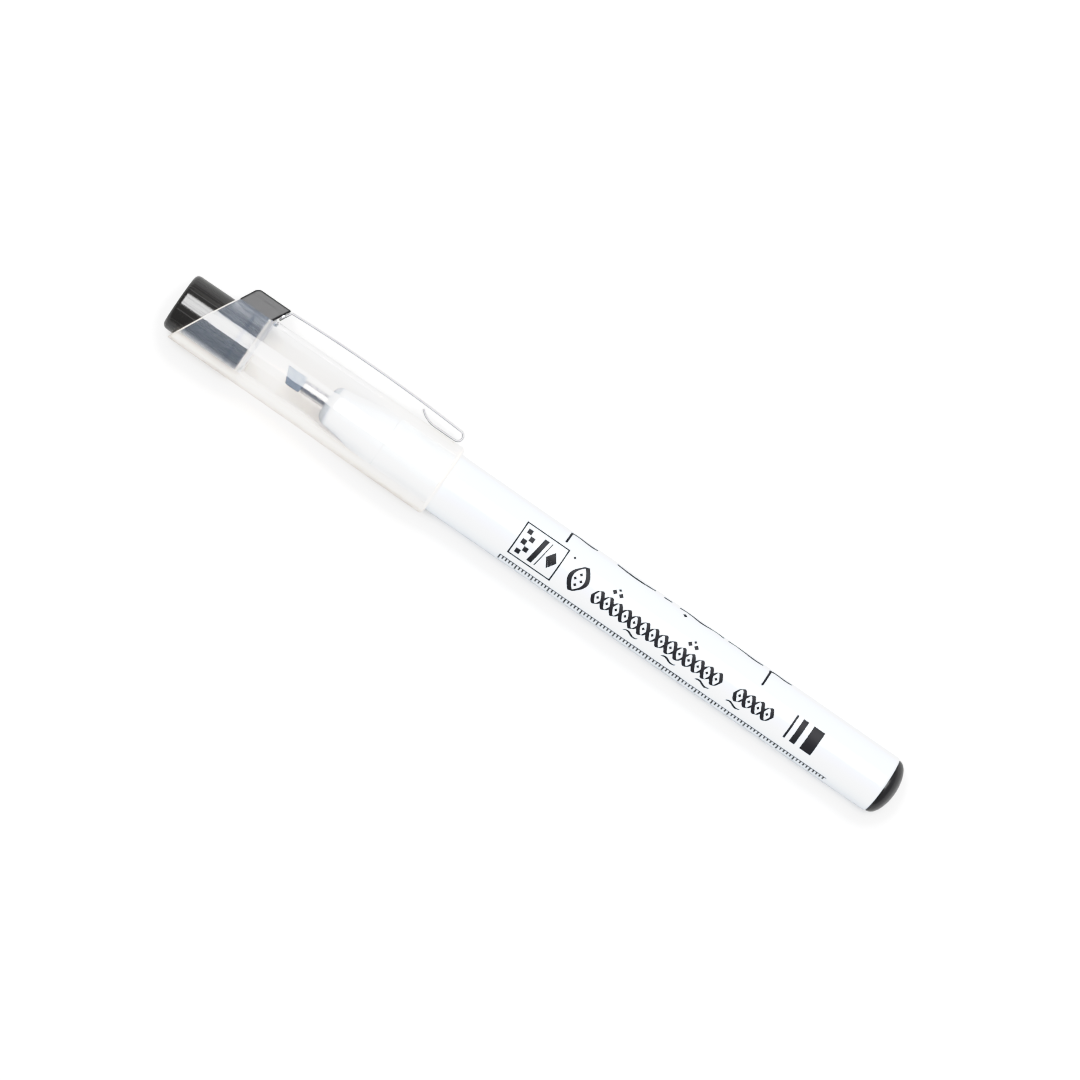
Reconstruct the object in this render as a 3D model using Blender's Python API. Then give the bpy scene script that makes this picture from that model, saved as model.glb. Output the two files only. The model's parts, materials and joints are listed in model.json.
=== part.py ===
"""Calligraphy marker: chisel nib, white barrel, translucent push-on cap and a steel pocket clip.

The pen lies along +X, from the flat outer end of the cap at x = 0 to the domed tail. The clip stands
out towards +Y, and +Z is up. Every length is in metres. The cap rides on cap_axis, which slides along
the pen, and the clip rides on clip_hinge, which turns about a line along Z at the clip's root.
"""

import math

import bmesh
import bpy
from mathutils import Vector

MM = 0.001
SEGMENTS = 48  # sides of every turned piece

# Clearances
PRESS_GAP = 0.10 * MM  # all round a piece pressed into another
CAP_GAP = 0.16 * MM  # between the barrel's front and the cap's mouth
FACE_GAP = 0.15 * MM  # between faces that meet end to end
TAB_GAP = 0.15 * MM  # round the clip's tab, so that the clip can flex

# Barrel and tail plug
BARREL_RADIUS_FRONT = 5.33 * MM
BARREL_RADIUS_REAR = 5.08 * MM
BARREL_WALL = 0.90 * MM
BARREL_LENGTH = 97.65 * MM
BARREL_EDGE = 0.40 * MM
TAIL_HEIGHT = 2.35 * MM
TAIL_STEP = 0.18 * MM  # how far the dome's foot is set in from the barrel's edge
TAIL_SPIGOT = 8.0 * MM
TAIL_WALL = 1.0 * MM

# Nose section
NOSE_LENGTH = 11.40 * MM
NOSE_MOUTH_RADIUS = 1.75 * MM
NOSE_MOUTH_DEPTH = 0.60 * MM
NOSE_DOME_LENGTH = 1.60 * MM
NOSE_DOME_RADIUS = 3.42 * MM
NOSE_STEP = 0.03 * MM
NOSE_SPIGOT = 9.5 * MM
NOSE_SPIGOT_WALL = 1.0 * MM
NOSE_WEB = 4.5 * MM  # solid length behind the ferrule, which grips the nib's shaft

# Nib, ferrule and ink reservoir
NIB_WIDTH = 2.90 * MM
NIB_THICKNESS = 2.00 * MM
NIB_EDGE_THICKNESS = 0.50 * MM
NIB_SLANT = math.radians(24.0)
NIB_HEAD = 3.85 * MM
NIB_BEVEL_LENGTH = 1.60 * MM
NIB_SHAFT_RADIUS = 0.90 * MM
NIB_OUT = 8.40 * MM  # from the nib's tip to the front of the nose
NIB_IN_CORE = 5.5 * MM
FERRULE_WALL = 0.25 * MM
FERRULE_IN_NOSE = 5.0 * MM
FILM_WALL = 0.15 * MM
CORE_PLAY = 0.6 * MM

# Cap sleeve and end plug
SLEEVE_WALL = 0.80 * MM
SLEEVE_DRAFT = 0.25 * MM  # how much narrower the sleeve is at its closed end
CUT_START = 1.80 * MM
CUT_ANGLE = math.radians(62.5)  # between the oblique cut and the pen's axis
PARTITION_X = 13.75 * MM
PARTITION_WALL = 1.0 * MM
NIB_ROOM = 5.55 * MM  # free length between the partition and the nib's tip
CAP_OVERLAP = 11.5 * MM  # how far the cap reaches over the barrel
PLUG_DRAFT = 0.12 * MM
PLUG_EDGE = 0.90 * MM
PLUG_WALL = 1.50 * MM
SNAP_BACK = 2.45 * MM  # from the partition back to the snap bead
SNAP_WIDTH = 0.50 * MM
SNAP_HEIGHT = 0.15 * MM

# Clip block and clip
BLOCK_OVERHANG = 0.65 * MM  # how far the block's foot reaches past the plug's inner end
BLOCK_RISE = 2.68 * MM  # above the sleeve
BLOCK_WIDTH = 4.0 * MM
BLOCK_CORNER = 1.30 * MM
BLOCK_EDGE = 0.25 * MM
CLIP_THICKNESS = 0.40 * MM
CLIP_INSET = 0.5 * MM  # from the side of the block to the edge of the clip
CLIP_REACH = 34.2 * MM  # from the clip's root to the end of its fold
CLIP_BOW = 0.45 * MM
CLIP_FOLD_HEIGHT = 2.15 * MM
CLIP_LEG = 3.9 * MM
CLIP_CURL_RADIUS = 4.4 * MM
CLIP_CURL_ANGLE = math.radians(45.0)
CLIP_BEND_RADIUS = 0.50 * MM
CLIP_TAB_DEPTH = 1.3 * MM
CLIP_TAB_WIDTH = 1.6 * MM

# Stations along the axis
NIB_TIP_X = PARTITION_X + PARTITION_WALL + NIB_ROOM
NOSE_X = NIB_TIP_X + NIB_OUT
SHOULDER_X = NOSE_X + NOSE_LENGTH
CAP_LENGTH = SHOULDER_X + CAP_OVERLAP
BARREL_X = SHOULDER_X + FACE_GAP
BARREL_END_X = BARREL_X + BARREL_LENGTH
NOSE_END_X = SHOULDER_X + NOSE_SPIGOT
FERRULE_X = NIB_TIP_X + NIB_HEAD + FACE_GAP
FERRULE_END_X = NOSE_X + FERRULE_IN_NOSE
TAIL_X = BARREL_END_X + FACE_GAP
TAIL_SPIGOT_X = TAIL_X - TAIL_SPIGOT
CORE_X = NOSE_END_X + FACE_GAP
CORE_END_X = TAIL_SPIGOT_X - CORE_PLAY
PLUG_END_X = PARTITION_X - FACE_GAP
SNAP_X = PARTITION_X - SNAP_BACK

# Radii that follow from the pieces that fit each other
BARREL_BORE = BARREL_RADIUS_REAR - BARREL_WALL
SPIGOT_RADIUS = BARREL_BORE - PRESS_GAP
NOSE_SHOULDER_RADIUS = BARREL_RADIUS_FRONT - NOSE_STEP
FERRULE_BORE = NIB_SHAFT_RADIUS + PRESS_GAP
FERRULE_RADIUS = FERRULE_BORE + FERRULE_WALL
FILM_RADIUS = BARREL_BORE - PRESS_GAP
CORE_RADIUS = FILM_RADIUS - FILM_WALL - PRESS_GAP
MOUTH_RADIUS = BARREL_RADIUS_FRONT + CAP_GAP + SLEEVE_WALL
CLIP_WIDTH = BLOCK_WIDTH - 2 * CLIP_INSET


def sleeve_radius(x):
    """The sleeve's outer radius at a station."""
    return MOUTH_RADIUS - SLEEVE_DRAFT * (CAP_LENGTH - x) / (CAP_LENGTH - CUT_START)


def bore_radius(x):
    """The sleeve's inner radius at a station."""
    return sleeve_radius(x) - SLEEVE_WALL


PLUG_RADIUS = bore_radius(PLUG_END_X) - PRESS_GAP
BLOCK_TOP = sleeve_radius(SNAP_X) + BLOCK_RISE
BLOCK_ROOT = PLUG_RADIUS - PLUG_WALL / 2  # the block starts inside the plug's wall
BLOCK_FOOT = PLUG_RADIUS + 2 * PRESS_GAP  # and its overhang clears the sleeve's bore


def cut_x(y):
    """Where the oblique cut crosses the height y, seen along Z."""
    return CUT_START + (y + sleeve_radius(CUT_START)) / math.tan(CUT_ANGLE)


def face_x(y):
    """The inner slanted face of the clip block, parallel to the cut."""
    return PLUG_END_X + BLOCK_OVERHANG + (y - BLOCK_FOOT) / math.tan(CUT_ANGLE)


# The clip's root leg lies along the block's inner face, and the clip flexes about the bend above it.
LEG_OFFSET = (PRESS_GAP + CLIP_THICKNESS / 2) / math.sin(CUT_ANGLE)
ROOT_Y = BLOCK_TOP - CLIP_THICKNESS / 2 - PRESS_GAP
ROOT = Vector((face_x(ROOT_Y) + LEG_OFFSET, ROOT_Y, 0.0))


def material(name, colour, roughness, metallic=0.0, alpha=1.0):
    """A plain Principled material."""
    made = bpy.data.materials.new(name)
    made.use_nodes = True
    shader = made.node_tree.nodes["Principled BSDF"]
    shader.inputs["Base Color"].default_value = (*colour, 1.0)
    shader.inputs["Roughness"].default_value = roughness
    shader.inputs["Metallic"].default_value = metallic
    shader.inputs["Alpha"].default_value = alpha
    return made


def mesh_object(name, bm, finish, carrier=None):
    """Makes a mesh object; under a carrier, its origin is the carrier's place."""
    bmesh.ops.recalc_face_normals(bm, faces=bm.faces)
    if carrier:
        place = carrier.matrix_world.translation
        bmesh.ops.translate(bm, vec=-place, verts=bm.verts)
    mesh = bpy.data.meshes.new(name)
    bm.to_mesh(mesh)
    bm.free()
    mesh.shade_smooth()
    mesh.set_sharp_from_angle(angle=math.radians(35))
    made = bpy.data.objects.new(name, mesh)
    made.parent = carrier
    if finish:
        mesh.materials.append(finish)
    bpy.context.collection.objects.link(made)
    return made


def spun(outline):
    """A bmesh turned about the X axis from an outline of (x, radius) points."""
    bm = bmesh.new()
    points = [bm.verts.new((x, radius, 0.0)) for x, radius in outline]
    on_axis = outline[0][1] == 0.0
    edges = [bm.edges.new(pair) for pair in zip(points, points[1:])]
    if not on_axis:
        edges.append(bm.edges.new((points[-1], points[0])))
    bmesh.ops.spin(
        bm,
        geom=points + edges,
        cent=(0.0, 0.0, 0.0),
        axis=(1.0, 0.0, 0.0),
        angle=math.tau,
        steps=SEGMENTS,
        use_merge=True,
    )
    bmesh.ops.remove_doubles(bm, verts=bm.verts, dist=1e-7)
    return bm


def arc(centre, radius, start, end, steps):
    """Points on an arc, angles in radians from the first axis."""
    angles = (start + (end - start) * step / steps for step in range(steps + 1))
    return [(centre[0] + radius * math.cos(a), centre[1] + radius * math.sin(a)) for a in angles]


def rounded_corner(before, corner, after, radius, steps=5):
    """The arc that rounds one corner of an outline."""
    before, corner, after = Vector(before), Vector(corner), Vector(after)
    inward, outward = (before - corner).normalized(), (after - corner).normalized()
    half = inward.angle(outward) / 2
    centre = corner + (inward + outward).normalized() * radius / math.sin(half)
    start = corner + inward * radius / math.tan(half) - centre
    end = corner + outward * radius / math.tan(half) - centre
    turn = start.angle_signed(end)
    spread = (math.atan2(start.y, start.x) - turn * step / steps for step in range(steps + 1))
    return [(centre.x + radius * math.cos(a), centre.y + radius * math.sin(a)) for a in spread]


def slab(outline, width):
    """A flat outline in XY made a solid, centred on z = 0."""
    bm = bmesh.new()
    face = bm.faces.new([bm.verts.new((x, y, -width / 2)) for x, y in outline])
    grown = bmesh.ops.extrude_face_region(bm, geom=[face])["geom"]
    moved = [item for item in grown if isinstance(item, bmesh.types.BMVert)]
    bmesh.ops.translate(bm, vec=(0.0, 0.0, width), verts=moved)
    return bm


def ribbon(path, thickness, width):
    """A strip of even thickness along a path in XY, centred on z = 0."""
    bm = bmesh.new()
    rows = []
    for i, point in enumerate(path):
        ahead = Vector(path[min(i + 1, len(path) - 1)]) - Vector(path[max(i - 1, 0)])
        side = Vector((-ahead.y, ahead.x)).normalized() * thickness / 2
        rows.append([
            bm.verts.new((point[0] + sign * side.x, point[1] + sign * side.y, -width / 2))
            for sign in (1, -1)
        ])
    faces = [bm.faces.new((*a, *reversed(b))) for a, b in zip(rows, rows[1:])]
    grown = bmesh.ops.extrude_face_region(bm, geom=faces)["geom"]
    moved = [item for item in grown if isinstance(item, bmesh.types.BMVert)]
    bmesh.ops.translate(bm, vec=(0.0, 0.0, width), verts=moved)
    return bm


def combine(target, operation, tool_name, bm):
    """Cuts a helper shape from a piece, or joins one to it, with a live Boolean."""
    tool = mesh_object(tool_name, bm, None, target.parent)
    tool.hide_render = True
    tool.display_type = "WIRE"
    modifier = target.modifiers.new(tool_name, "BOOLEAN")
    modifier.operation = operation
    modifier.solver = "EXACT"
    modifier.object = tool


def block_outline():
    """The clip block seen along Z, with a foot that passes over the sleeve's partition."""
    low, high = (cut_x(BLOCK_ROOT), BLOCK_ROOT), (cut_x(BLOCK_TOP), BLOCK_TOP)
    inner = (face_x(BLOCK_TOP), BLOCK_TOP)
    outline = [low, *rounded_corner(low, high, inner, BLOCK_CORNER), inner]
    outline += [(face_x(BLOCK_FOOT), BLOCK_FOOT), (PLUG_END_X, BLOCK_FOOT), (PLUG_END_X, BLOCK_ROOT)]
    return outline


def slot_outline():
    """The slot in the sleeve: the block's outline with a gap, open towards the oblique cut."""
    top, foot = BLOCK_TOP + SLEEVE_WALL, BLOCK_FOOT - PRESS_GAP
    back = PLUG_END_X + PRESS_GAP / 2
    outline = [(cut_x(BLOCK_ROOT) - SLEEVE_WALL, BLOCK_ROOT), (cut_x(top) - SLEEVE_WALL, top)]
    outline += [(face_x(top) + PRESS_GAP, top), (face_x(foot) + PRESS_GAP, foot)]
    outline += [(back, foot), (back, BLOCK_ROOT)]
    return outline


def tab_slab(grow):
    """The tab that holds the clip's root in the block; grown, it is the tab's pocket."""
    middle = (ROOT_Y + sleeve_radius(face_x(ROOT_Y))) / 2
    start, end = face_x(middle) - CLIP_TAB_DEPTH - grow, face_x(middle) + LEG_OFFSET
    low, high = middle - CLIP_THICKNESS / 2 - grow, middle + CLIP_THICKNESS / 2 + grow
    if grow:
        end += SLEEVE_WALL
    return slab([(start, low), (end, low), (end, high), (start, high)], CLIP_TAB_WIDTH + 2 * grow)


def clip_path():
    """The clip's middle line: root leg, bowed strip, fold and the leg that curls back up."""
    leg_y = sleeve_radius(face_x(ROOT_Y)) + 3 * PRESS_GAP
    fold_radius = (CLIP_FOLD_HEIGHT - CLIP_THICKNESS) / 2
    end_x = ROOT.x + CLIP_REACH - CLIP_THICKNESS / 2 - fold_radius
    end_y = sleeve_radius(end_x) + PRESS_GAP + CLIP_THICKNESS / 2 + 2 * fold_radius
    strip = []
    for step in range(1, 21):
        share = step / 20
        rise = 4 * CLIP_BOW * share * (1 - share)
        strip.append((ROOT.x + (end_x - ROOT.x) * share, ROOT.y + (end_y - ROOT.y) * share + rise))
    foot = (face_x(leg_y) + LEG_OFFSET, leg_y)
    bend = rounded_corner(foot, ROOT.xy, strip[0], CLIP_BEND_RADIUS)
    middle_y = end_y - fold_radius
    fold = arc((end_x, middle_y), fold_radius, math.pi / 2, -math.pi / 2, 12)[1:]
    curl_x, low_y = end_x - CLIP_LEG, middle_y - fold_radius
    curl = arc(
        (curl_x, low_y + CLIP_CURL_RADIUS),
        CLIP_CURL_RADIUS,
        -math.pi / 2,
        -math.pi / 2 - CLIP_CURL_ANGLE,
        8,
    )
    return [foot, *bend, *strip, *fold, *curl]


def cap_sleeve(carrier):
    lip = SLEEVE_WALL / 2
    rim_x = CAP_LENGTH - lip
    rim = arc((rim_x, bore_radius(rim_x) + lip), lip, -math.pi / 2, math.pi / 2, 8)
    start = CUT_START - SLEEVE_WALL
    back = PARTITION_X + PARTITION_WALL
    groove = SNAP_HEIGHT + PRESS_GAP / 2
    outline = [(back, 0.0), (back, bore_radius(back)), *rim, (start, sleeve_radius(start))]
    outline += [(start, bore_radius(start))]
    for x, depth in ((SNAP_X, 0.0), (SNAP_X, groove), (SNAP_X + SNAP_WIDTH, groove)):
        outline.append((x, bore_radius(x) + depth))
    outline += [(SNAP_X + SNAP_WIDTH, bore_radius(SNAP_X + SNAP_WIDTH))]
    outline += [(PARTITION_X, bore_radius(PARTITION_X)), (PARTITION_X, 0.0)]
    finish = material("frosted_plastic", (0.90, 0.91, 0.92), 0.25, alpha=0.35)
    sleeve = mesh_object("cap_sleeve", spun(outline), finish, carrier)
    reach = 2 * MOUTH_RADIUS
    low, high = -reach, reach
    waste = [(cut_x(low), low), (cut_x(high), high), (cut_x(low) - reach, high), (cut_x(low) - reach, low)]
    combine(sleeve, "DIFFERENCE", "oblique_cutter", slab(waste, 2 * reach))
    slot = slab(slot_outline(), BLOCK_WIDTH + 2 * PRESS_GAP)
    combine(sleeve, "DIFFERENCE", "slot_cutter", slot)


def cap_end_plug(carrier):
    tip = PLUG_RADIUS - PLUG_DRAFT
    hollow = PLUG_RADIUS - PLUG_WALL
    bead_end = SNAP_X + SNAP_WIDTH - PRESS_GAP
    bead_start = SNAP_X + PRESS_GAP
    at_bead = tip + PLUG_DRAFT * SNAP_X / PLUG_END_X
    edge = arc((PLUG_EDGE, tip - PLUG_EDGE), PLUG_EDGE, math.pi, math.pi / 2, 6)
    outline = [(0.0, 0.0), *edge, (bead_start, at_bead), (bead_start, at_bead + SNAP_HEIGHT)]
    outline += [(bead_end, at_bead + SNAP_HEIGHT), (bead_end, at_bead), (PLUG_END_X, PLUG_RADIUS)]
    outline += [(PLUG_END_X, hollow), (PLUG_WALL, hollow), (PLUG_WALL, 0.0)]
    finish = material("black_gloss_plastic", (0.012, 0.012, 0.011), 0.18)
    plug = mesh_object("cap_end_plug", spun(outline), finish, carrier)
    block = slab(block_outline(), BLOCK_WIDTH)
    sides = [e for e in block.edges if abs(e.verts[0].co.z - e.verts[1].co.z) < BLOCK_EDGE]
    bmesh.ops.bevel(block, geom=sides, offset=BLOCK_EDGE, segments=2, profile=0.5, affect="EDGES")
    combine(plug, "UNION", "clip_block_shape", block)
    combine(plug, "DIFFERENCE", "tab_pocket_cutter", tab_slab(TAB_GAP))


def pocket_clip(carrier):
    finish = material("bright_steel", (0.62, 0.62, 0.64), 0.22, metallic=1.0)
    strip = ribbon(clip_path(), CLIP_THICKNESS, CLIP_WIDTH)
    clip = mesh_object("pocket_clip", strip, finish, carrier)
    combine(clip, "UNION", "clip_tab_shape", tab_slab(0.0))


def barrel():
    edge = BARREL_EDGE
    rear = BARREL_RADIUS_REAR
    rim = arc((BARREL_END_X - edge, rear - edge), edge, math.pi / 2, 0.0, 5)
    outline = [(BARREL_X, BARREL_BORE), (BARREL_X, BARREL_RADIUS_FRONT - PRESS_GAP)]
    outline += [(BARREL_X + PRESS_GAP, BARREL_RADIUS_FRONT), *rim, (BARREL_END_X, BARREL_BORE)]
    mesh_object("barrel", spun(outline), material("white_gloss_plastic", (0.86, 0.88, 0.90), 0.2))


def nose_section():
    web_end = FERRULE_END_X + FACE_GAP + NOSE_WEB
    ferrule_hole = FERRULE_RADIUS + PRESS_GAP
    shaft_hole = NIB_SHAFT_RADIUS + PRESS_GAP
    lip = NOSE_MOUTH_RADIUS + PRESS_GAP
    dome = [
        (NOSE_X + NOSE_DOME_LENGTH * (1 - math.cos(a)), lip + (NOSE_DOME_RADIUS - lip) * math.sin(a))
        for a in (math.radians(15 * step) for step in range(7))
    ]
    dome_end = NOSE_X + NOSE_DOME_LENGTH
    cone = []
    for step in range(1, 9):
        share = step / 8
        rise = (NOSE_SHOULDER_RADIUS - NOSE_DOME_RADIUS) * share**1.25
        cone.append((dome_end + (SHOULDER_X - dome_end) * share, NOSE_DOME_RADIUS + rise))
    hollow = SPIGOT_RADIUS - NOSE_SPIGOT_WALL
    outline = [(NOSE_X, NOSE_MOUTH_RADIUS), *dome, *cone, (SHOULDER_X, SPIGOT_RADIUS)]
    outline += [(NOSE_END_X, SPIGOT_RADIUS), (NOSE_END_X, hollow), (web_end, hollow)]
    outline += [(web_end, shaft_hole), (FERRULE_END_X + FACE_GAP, shaft_hole)]
    outline += [(FERRULE_END_X + FACE_GAP, ferrule_hole), (NOSE_X + NOSE_MOUTH_DEPTH, ferrule_hole)]
    finish = material("white_nose_plastic", (0.84, 0.87, 0.91), 0.3)
    mesh_object("nose_section", spun(outline), finish)


def nib_ferrule():
    outline = [(FERRULE_X, FERRULE_BORE), (FERRULE_X, FERRULE_RADIUS), (FERRULE_END_X, FERRULE_RADIUS)]
    outline += [(FERRULE_END_X, FERRULE_BORE)]
    finish = material("ferrule_steel", (0.60, 0.59, 0.58), 0.25, metallic=1.0)
    mesh_object("nib_ferrule", spun(outline), finish)


def nib():
    """The chisel head, cut on a slant, on a round shaft that reaches into the ink core."""
    bm = bmesh.new()
    head_end = NIB_TIP_X + NIB_HEAD
    sections = ((NIB_TIP_X, NIB_EDGE_THICKNESS, 1), (NIB_TIP_X + NIB_BEVEL_LENGTH, NIB_THICKNESS, 1))
    sections += ((head_end, NIB_THICKNESS, 0),)
    rings = []
    for x, thickness, slanted in sections:
        ring = []
        for y_side, z_side in ((1, 1), (1, -1), (-1, -1), (-1, 1)):
            y = y_side * NIB_WIDTH / 2
            lean = slanted * (NIB_WIDTH / 2 - y) * math.tan(NIB_SLANT)
            ring.append(bm.verts.new((x + lean, y, z_side * thickness / 2)))
        rings.append(ring)
    for near, far in zip(rings, rings[1:]):
        for i in range(4):
            bm.faces.new((near[i], near[i - 1], far[i - 1], far[i]))
    bm.faces.new(rings[0])
    bm.faces.new(reversed(rings[-1]))
    bmesh.ops.recalc_face_normals(bm, faces=bm.faces)
    edges = [e for e in bm.edges if abs(e.calc_face_angle()) > math.radians(40)]
    bmesh.ops.bevel(bm, geom=edges, offset=NIB_EDGE_THICKNESS / 5, segments=2, profile=0.5, affect="EDGES")
    head = mesh_object("nib", bm, material("dark_felt", (0.05, 0.07, 0.11), 0.55))
    shaft_end = CORE_X + NIB_IN_CORE
    shaft = [(head_end - NIB_HEAD / 4, 0.0), (head_end - NIB_HEAD / 4, NIB_SHAFT_RADIUS)]
    shaft += [(shaft_end, NIB_SHAFT_RADIUS), (shaft_end, 0.0)]
    combine(head, "UNION", "nib_shaft_shape", spun(shaft))


def ink_core():
    hole = NIB_SHAFT_RADIUS + PRESS_GAP
    hole_end = CORE_X + NIB_IN_CORE + FACE_GAP
    outline = [(hole_end, 0.0), (hole_end, hole), (CORE_X, hole), (CORE_X, CORE_RADIUS)]
    outline += [(CORE_END_X, CORE_RADIUS), (CORE_END_X, 0.0)]
    mesh_object("ink_core", spun(outline), material("inked_fibre", (0.02, 0.02, 0.03), 0.9))


def core_film():
    inner = FILM_RADIUS - FILM_WALL
    outline = [(CORE_X, inner), (CORE_X, FILM_RADIUS), (CORE_END_X, FILM_RADIUS), (CORE_END_X, inner)]
    mesh_object("core_film", spun(outline), material("clear_film", (0.80, 0.82, 0.84), 0.3, alpha=0.5))


def tail_plug():
    foot = BARREL_RADIUS_REAR - TAIL_STEP
    dome = [
        (TAIL_X + TAIL_HEIGHT * math.sin(a), foot * math.cos(a))
        for a in (math.radians(9 * step) for step in range(10))
    ]
    dome = [*dome[:-1], (TAIL_X + TAIL_HEIGHT, 0.0), (TAIL_X, 0.0)]
    inner = SPIGOT_RADIUS - TAIL_WALL
    skirt = [(TAIL_X - TAIL_WALL, 0.0), (TAIL_X - TAIL_WALL, inner), (TAIL_SPIGOT_X, inner)]
    skirt += [(TAIL_SPIGOT_X, SPIGOT_RADIUS), (TAIL_X, SPIGOT_RADIUS)]
    outline = skirt + dome[:-1]
    mesh_object("tail_plug", spun(outline), material("black_tail_plastic", (0.02, 0.02, 0.022), 0.35))


def carrier(name, place, parent=None):
    """An empty on a joint's axis."""
    made = bpy.data.objects.new(name, None)
    made.empty_display_size = CLIP_WIDTH
    made.parent = parent
    made.location = place
    bpy.context.collection.objects.link(made)
    return made


def main():
    for leftover in list(bpy.data.objects):
        bpy.data.objects.remove(leftover)
    cap_axis = carrier("cap_axis", (0.0, 0.0, 0.0))
    clip_hinge = carrier("clip_hinge", ROOT, cap_axis)
    bpy.context.view_layer.update()
    for build in (barrel, nose_section, nib_ferrule, nib, ink_core, core_film, tail_plug):
        build()
    cap_sleeve(cap_axis)
    cap_end_plug(cap_axis)
    pocket_clip(clip_hinge)


main()
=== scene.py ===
"""Looks of the calligraphy marker: turned plastic pieces, a bright steel clip and screen-printed marks.

The pen lies along +X with its clip towards +Y. Lengths are in metres, as in the frame, and the
pieces are placed from the frame's own boxes.
"""

import json
import math

import bpy
from mathutils import Matrix, Vector

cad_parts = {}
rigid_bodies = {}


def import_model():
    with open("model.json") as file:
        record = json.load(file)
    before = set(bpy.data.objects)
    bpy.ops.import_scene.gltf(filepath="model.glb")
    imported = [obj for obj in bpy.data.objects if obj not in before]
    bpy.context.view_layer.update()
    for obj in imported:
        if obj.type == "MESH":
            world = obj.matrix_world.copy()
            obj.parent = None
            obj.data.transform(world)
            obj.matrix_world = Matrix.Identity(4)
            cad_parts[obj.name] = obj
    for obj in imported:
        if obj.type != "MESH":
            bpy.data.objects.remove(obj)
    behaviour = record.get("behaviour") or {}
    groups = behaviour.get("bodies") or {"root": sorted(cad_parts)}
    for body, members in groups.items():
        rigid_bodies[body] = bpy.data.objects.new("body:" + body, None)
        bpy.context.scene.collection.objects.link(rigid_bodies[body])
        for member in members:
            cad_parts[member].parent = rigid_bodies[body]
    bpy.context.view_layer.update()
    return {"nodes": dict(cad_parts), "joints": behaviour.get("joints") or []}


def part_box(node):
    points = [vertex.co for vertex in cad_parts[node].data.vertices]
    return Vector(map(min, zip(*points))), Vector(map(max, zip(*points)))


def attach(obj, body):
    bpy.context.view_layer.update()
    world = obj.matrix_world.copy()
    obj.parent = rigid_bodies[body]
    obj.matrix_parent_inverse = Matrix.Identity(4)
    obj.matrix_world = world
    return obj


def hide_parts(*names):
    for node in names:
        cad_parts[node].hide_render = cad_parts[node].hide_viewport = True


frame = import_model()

MM = 0.001
SIDES = 128  # flats round a turned piece
TIGHT = 1e-7  # merge distance, well under any real feature

# Stations and radii, read from the frame
barrel_low, barrel_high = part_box("barrel")
nose_low, nose_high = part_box("nose_section")
ferrule_low, ferrule_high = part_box("nib_ferrule")
nib_low, nib_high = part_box("nib")
tail_low, tail_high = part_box("tail_plug")
sleeve_low, sleeve_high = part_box("cap_sleeve")
plug_low, plug_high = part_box("cap_end_plug")
clip_low, clip_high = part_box("pocket_clip")
root_of_clip = Vector(next(j["pos_m"] for j in frame["joints"] if j["name"] == "clip_flex"))

BARREL_TAPER = 0.25 * MM
BARREL_WALL = 0.90 * MM
PRESS_GAP = 0.10 * MM  # round a pressed piece, and between the clip and the sleeve
FACE_GAP = 0.15 * MM  # between faces that meet end to end
SLEEVE_DRAFT = 0.25 * MM
SLEEVE_WALL = 0.80 * MM
CUT_SLOPE = 1 / math.tan(math.radians(62.5))  # the oblique cut's run along the pen for its rise
PARTITION_START = 13.75 * MM
PARTITION_END = 14.75 * MM
PLUG_END = 13.60 * MM
SNAP_START = 11.30 * MM
SNAP_END = 11.80 * MM
BLOCK_TOP = plug_high.y
BLOCK_FOOT = 5.40 * MM
BLOCK_WIDTH = 4.0 * MM
BLOCK_CORNER = 1.3 * MM
BLOCK_EDGE = 0.35 * MM
TAB_GAP = 0.15 * MM  # round the clip's tab, so that the clip can flex
TAB_DEPTH = 1.3 * MM
TAB_WIDTH = 1.6 * MM
CLIP_WIDTH = clip_high.z - clip_low.z
CLIP_THICKNESS = 0.40 * MM
CLIP_EDGE = 0.12 * MM
CLIP_BOW = 0.45 * MM
CLIP_BEND = 0.5 * MM  # radius of the bend at the root
FOLD_HEIGHT = 2.15 * MM
FOLD_LEG = 3.9 * MM
CURL_RADIUS = 4.4 * MM


def sleeve_radius(x):
    """The sleeve's outer radius at a station."""
    share = (sleeve_high.x - x) / (sleeve_high.x - sleeve_low.x)
    return sleeve_high.z - SLEEVE_DRAFT * share


def bore_radius(x):
    """The sleeve's inner radius at a station."""
    return sleeve_radius(x) - SLEEVE_WALL


def barrel_radius(x):
    """The barrel's outer radius at a station."""
    return barrel_high.z - BARREL_TAPER * (x - barrel_low.x) / (barrel_high.x - barrel_low.x)


def cut_x(y):
    """Where the sleeve's oblique cut crosses the height y."""
    return sleeve_low.x + (y + sleeve_radius(sleeve_low.x)) * CUT_SLOPE


def face_x(y):
    """The clip block's inner face, parallel to the cut."""
    return plug_high.x - (BLOCK_TOP - y) * CUT_SLOPE


def tab_height():
    """How high the middle of the clip's tab sits, halfway between the sleeve and the clip's root."""
    return (root_of_clip.y + sleeve_radius(face_x(root_of_clip.y))) / 2


# ---------------------------------------------------------------------------- modelling by hand


def arc(centre, radius, start, end, steps=6):
    """Points of an arc in a drawing plane, angles in degrees."""
    angles = (math.radians(start + (end - start) * step / steps) for step in range(steps + 1))
    return [(centre[0] + radius * math.cos(a), centre[1] + radius * math.sin(a)) for a in angles]


def new_piece(name):
    """An empty mesh, open for editing."""
    bpy.ops.object.select_all(action="DESELECT")
    bpy.ops.mesh.primitive_plane_add(size=MM)
    piece = bpy.context.object
    piece.name = piece.data.name = name
    bpy.ops.object.mode_set(mode="EDIT")
    bpy.ops.mesh.select_all(action="SELECT")
    bpy.ops.mesh.delete(type="VERT")
    return piece


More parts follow.
